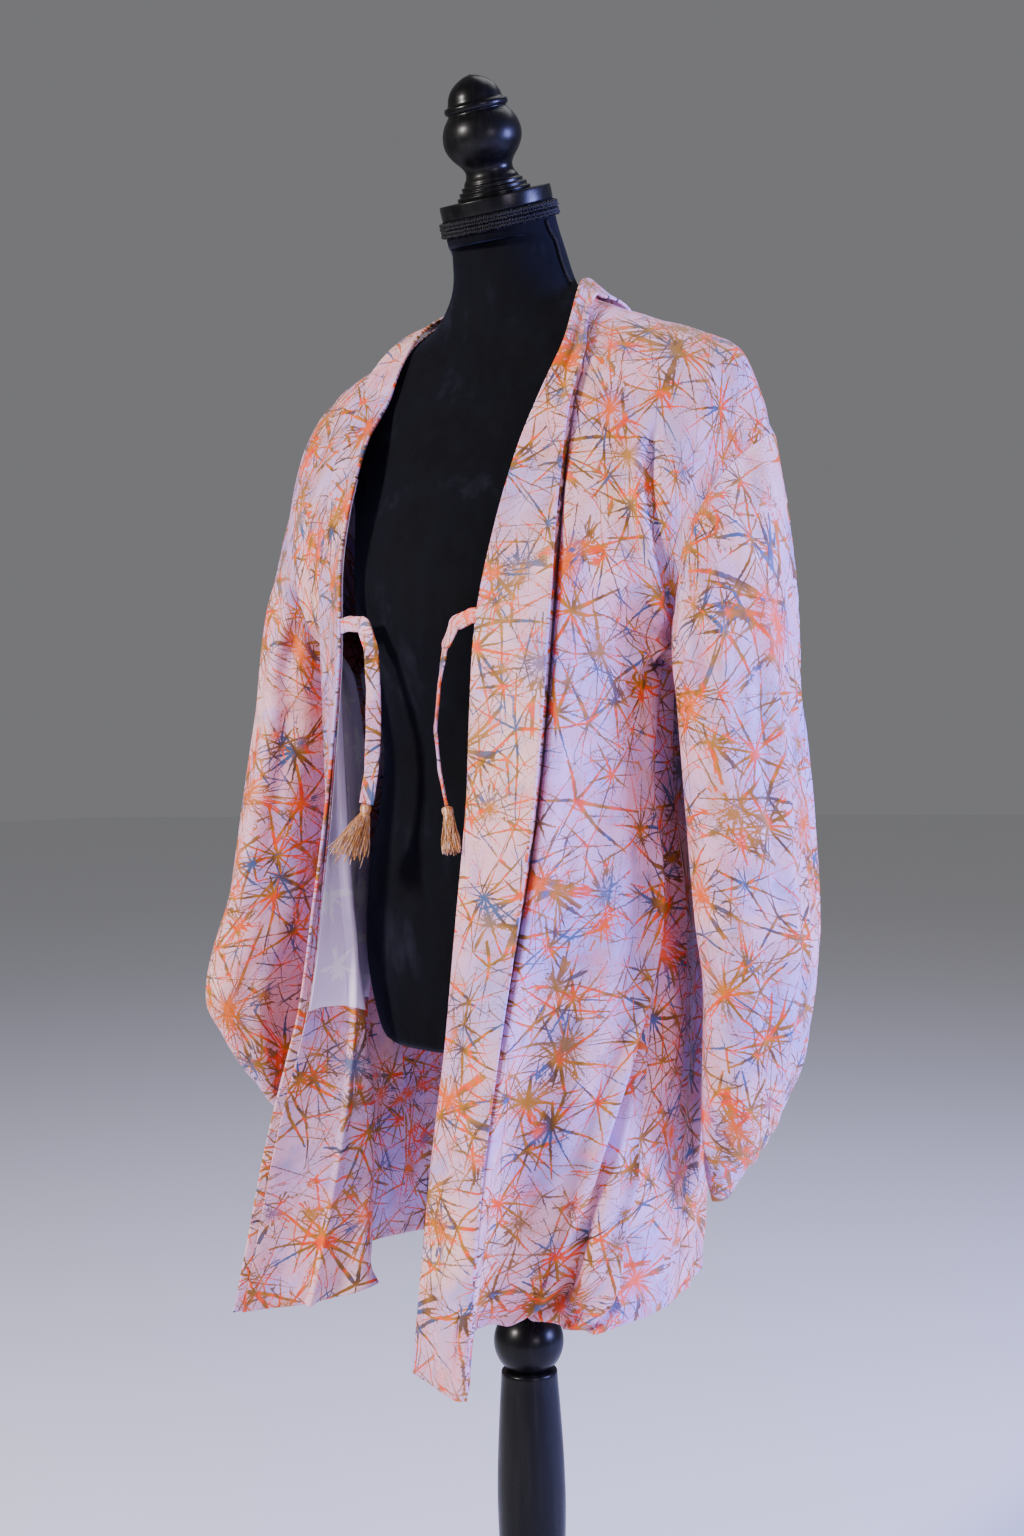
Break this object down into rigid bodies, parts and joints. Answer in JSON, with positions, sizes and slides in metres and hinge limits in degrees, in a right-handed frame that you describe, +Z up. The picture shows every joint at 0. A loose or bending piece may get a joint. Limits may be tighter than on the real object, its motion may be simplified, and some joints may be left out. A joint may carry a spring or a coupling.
{
  "type": "haori jacket on a limbless dress form with its stand",
  "caption": "Hip-length haori jacket with bag sleeves, outward-folded collar band and tasselled front ties, worn open on a velvet dress form with a turned wood finial, pole and foot",
  "frame": {"origin": "the centre of the foot's underside, on the floor under the pole", "axes": "+X to the wearer's left, -Y to the front, +Z up"},
  "size_m": [0.5714, 0.4022, 1.6455],
  "materials": {
    "printed_silk": "soft sheen",
    "lilac_satin": "satin",
    "black_velvet": "matte pile",
    "black_braid": "soft sheen",
    "ochre_thread": "soft sheen",
    "black_wood": "satin lacquer"
  },
  "bodies": {
    "root": {"body_panel_left": "printed_silk", "body_panel_right": "printed_silk", "gusset_left": "printed_silk", "gusset_right": "printed_silk", "sleeve_left": "printed_silk", "sleeve_right": "printed_silk", "collar_band": "printed_silk", "lining_right": "lilac_satin", "tie_left": "printed_silk", "tie_right": "printed_silk", "tassel_left": "ochre_thread", "tassel_right": "ochre_thread", "form_torso": "black_velvet", "neck_braid": "black_braid", "neck_cap": "black_wood", "finial": "black_wood", "stand_rod": "black_wood", "stand_ball": "black_wood", "stand_column": "black_wood", "stand_base": "black_wood"}
  },
  "joints": []
}
